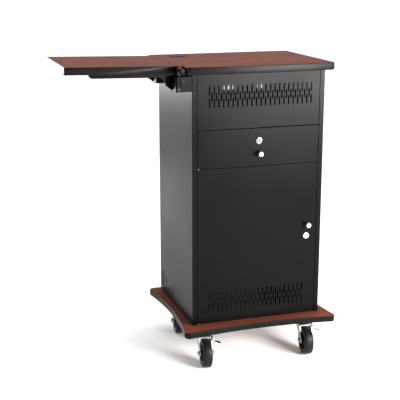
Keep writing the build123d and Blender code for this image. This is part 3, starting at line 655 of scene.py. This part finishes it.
def crown_offset(from_edge, height):
    """Outward offset of the moulding's face: rounded lips and a slight crown, in millimetres."""
    crown = CROWN * math.sin(math.pi * min(max((from_edge - LIP) / (height - 2 * LIP), 0), 1))
    near = min(from_edge, height - from_edge)
    if near < LIP:
        return crown - (LIP - math.sqrt(LIP**2 - (LIP - near) ** 2))
    return crown


def crowned_band(node_name, looks, lean=0.0):
    """Rebuilds an edge band with the rounded, slightly crowned face of a pressed-in moulding."""
    level = Matrix.Rotation(-lean, 4, "Y")
    band = bmesh.new()
    band.from_mesh(NODES[node_name].data)
    bmesh.ops.transform(band, matrix=level, verts=band.verts)
    bmesh.ops.remove_doubles(band, verts=band.verts, dist=0.01 * MM)
    low = min(vert.co.z for vert in band.verts)
    high = max(vert.co.z for vert in band.verts)
    height = (high - low) / MM
    steps = [*BAND_LEVELS, height / 2]
    for step in sorted(set(steps + [height - step for step in steps])):
        everything = list(band.verts) + list(band.edges) + list(band.faces)
        bmesh.ops.bisect_plane(band, geom=everything, plane_co=(0, 0, low + step * MM), plane_no=(0, 0, 1),
                               dist=0.001 * MM)
    bmesh.ops.recalc_face_normals(band, faces=band.faces)
    middle = sum((vert.co for vert in band.verts), Vector()) / len(band.verts)
    moves = {}
    for vert in band.verts:
        # upright faces only, and no slivers, whose normals are unreliable
        walls = [face.normal for face in vert.link_faces
                 if abs(face.normal.z) < 0.3 and face.calc_area() > 1e-10]
        outward = Vector((0, 0, 0))
        for normal in walls:
            if normal.dot(Vector((vert.co.x - middle.x, vert.co.y - middle.y, 0))) > 0:
                outward += Vector((normal.x, normal.y, 0)).normalized()
        if outward.length > 0.5:
            offset = crown_offset((vert.co.z - low) / MM, height)
            moves[vert] = outward.normalized() * offset * MM
    for vert, move in moves.items():
        vert.co += move
    bmesh.ops.transform(band, matrix=level.inverted(), verts=band.verts)
    body = "side_shelf" if lean else "cabinet"
    name = node_name.replace("_edge_band", "_moulding")
    piece(name, band, looks["edge_band"], body, (node_name,), 50)


# ---- shelf lock grip -------------------------------------------------------
FLUTES = 12
FLUTE_DEPTH = 0.55
FLUTE_STOP = 5           # the flutes run out this far from each end


def build_grip(looks):
    """Moulded grip: a barrel with rounded ends and shallow finger flutes."""
    low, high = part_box("lock_grip")
    middle = (low + high) / 2
    radius = (high.x - low.x) / 2 / MM
    half = (high.y - low.y) / 2 / MM
    grip = bmesh.new()
    steps = 96
    profile = [(0.05, -half), (radius * 0.55, -half), (radius * 0.82, -half + 0.5),
               (radius * 0.95, -half + 2.0), (radius, -half + 4.5), (radius * 0.985, -half + 7)]
    profile += [(radius * 0.985, -half + 7 + i * (2 * half - 14) / 6) for i in range(1, 7)]
    profile += [(radius, half - 4.5), (radius * 0.95, half - 2.0), (radius * 0.82, half - 0.5),
                (radius * 0.55, half), (0.05, half)]
    place = Matrix.Translation(middle) @ Matrix.Rotation(math.radians(90), 4, "X")
    rings = []
    for step in range(steps):
        turn = 2 * math.pi * step / steps
        ring = []
        for r, h in profile:
            depth = FLUTE_DEPTH * max(0.0, 1 - (h / (half - FLUTE_STOP)) ** 4)
            fluted = r - depth * (0.5 + 0.5 * math.cos(FLUTES * turn))
            spot = Vector((fluted * math.cos(turn), fluted * math.sin(turn), h))
            ring.append(grip.verts.new(place @ (spot * MM)))
        rings.append(ring)
    for step in range(steps):
        here, there = rings[step], rings[(step + 1) % steps]
        for i in range(len(profile) - 1):
            grip.faces.new((here[i], here[i + 1], there[i + 1], there[i]))
    for end in (0, -1):
        grip.faces.new([ring[end] for ring in rings])
    piece("lock_grip_moulding", grip, looks["black_plastic"], "shelf_lock", ("lock_grip",))


# ---- studio ----------------------------------------------------------------
CAMERA_PLACE = Vector((-0.98225, -3.12665, 1.3846))
CAMERA_PITCH = 14.34     # degrees below level
CAMERA_TURN = -17.95     # degrees about Z from looking along +Y
LENS_MM = 86.8
SENSOR_MM = 36.0
FLOOR_HALF = 60.0
GLOW = 0.55              # painted light: the far floor's glow, which keeps it white
GLOW_FROM, GLOW_TO = 1.5, 4.5        # distances from the object over which it grows
WORLD_FRONT, WORLD_BACK = 0.35, 1.0  # brightness of the surroundings towards -Y and +Y
WARM = (1.0, 0.98, 0.965)
WHITE = (1.0, 1.0, 1.0)


def make_camera():
    """The photo's view, solved from the object's straight edges."""
    data = bpy.data.cameras.new("camera")
    data.lens = LENS_MM
    data.sensor_width = SENSOR_MM
    camera = bpy.data.objects.new("camera", data)
    camera.location = CAMERA_PLACE
    camera.rotation_euler = (math.radians(90 - CAMERA_PITCH), 0, math.radians(CAMERA_TURN))
    bpy.context.scene.collection.objects.link(camera)
    bpy.context.scene.camera = camera


def make_floor():
    """A white floor at Z = 0; its far part glows with painted light."""
    look = Look("studio_floor")
    mottle = look.noise(look.place(), 2.0, 3.0)
    look.set(Base_Color=look.ramp(mottle, (0.3, (0.86, 0.86, 0.86)), (0.7, (0.89, 0.89, 0.885))))
    look.set(Roughness=0.6, Specular_IOR_Level=0.2)
    away = look.node("ShaderNodeVectorMath", Vector=look.place())
    away.operation = "LENGTH"
    # painted light: emission that grows with distance, keeping the far floor white
    look.set(Emission_Color=(1, 1, 1, 1))
    look.set(Emission_Strength=look.range(away.outputs["Value"], GLOW_FROM, GLOW_TO, 0.0, GLOW))
    mesh = bpy.data.meshes.new("floor")
    corners = [(x * FLOOR_HALF, y * FLOOR_HALF, 0) for x, y in ((-1, -1), (1, -1), (1, 1), (-1, 1))]
    mesh.from_pydata(corners, [], [(0, 1, 2, 3)])
    mesh.materials.append(look.material)
    floor = bpy.data.objects.new("floor", mesh)
    bpy.context.scene.collection.objects.link(floor)


def make_world():
    """Pale surroundings, dimmer on the side that the camera stands on."""
    world = bpy.data.worlds.new("studio")
    bpy.context.scene.world = world
    world.use_nodes = True
    tree = world.node_tree
    back = tree.nodes["Background"]
    where = tree.nodes.new("ShaderNodeTexCoord")
    split = tree.nodes.new("ShaderNodeSeparateXYZ")
    tree.links.new(where.outputs["Generated"], split.inputs["Vector"])
    fade = tree.nodes.new("ShaderNodeMapRange")
    fade.interpolation_type = "SMOOTHSTEP"
    limits = {"From Min": -0.25, "From Max": 0.3, "To Min": WORLD_FRONT, "To Max": WORLD_BACK}
    for key, number in limits.items():
        fade.inputs[key].default_value = number
    tree.links.new(split.outputs["Y"], fade.inputs["Value"])
    tree.links.new(fade.outputs["Result"], back.inputs["Strength"])
    back.inputs["Color"].default_value = (1, 1, 1, 1)


def softbox(name, place, target, size, radiance, colour):
    """An area light whose face has the given radiance."""
    data = bpy.data.lights.new(name, "AREA")
    data.shape = "RECTANGLE"
    data.size, data.size_y = size
    data.energy = radiance * math.pi * size[0] * size[1]
    data.color = colour
    light = bpy.data.objects.new(name, data)
    light.location = place
    light.rotation_euler = (Vector(target) - Vector(place)).to_track_quat("-Z", "Y").to_euler()
    bpy.context.scene.collection.objects.link(light)


def make_lights():
    """Soft light from above, a strip behind for the left side, and a near box for the front."""
    middle = (0.15, -0.1, 0.8)
    softbox("overhead", (0.2, 0.4, 3.0), (0.1, 0.2, 0), (2.4, 2.0), 3.2, WHITE)
    softbox("overhead_back", (0.2, 1.8, 2.6), (0.1, 1.2, 0), (3.0, 1.6), 0.8, WHITE)
    softbox("back_left", (-1.3, 2.9, 0.95), middle, (2.0, 0.8), 12.0, WARM)
    softbox("front_right", (1.25, -2.1, 0.95), middle, (1.1, 0.7), 72.0, WARM)
    bpy.context.scene.view_settings.view_transform = "Standard"


looks = make_looks()
dress_nodes(looks)
build_casters(looks)
crowned_band("worktop_edge_band", looks)
crowned_band("base_edge_band", looks)
crowned_band("shelf_edge_band", looks, mount_tilt("side_shelf_surface"))
build_grip(looks)
make_camera()
make_floor()
make_world()
make_lights()
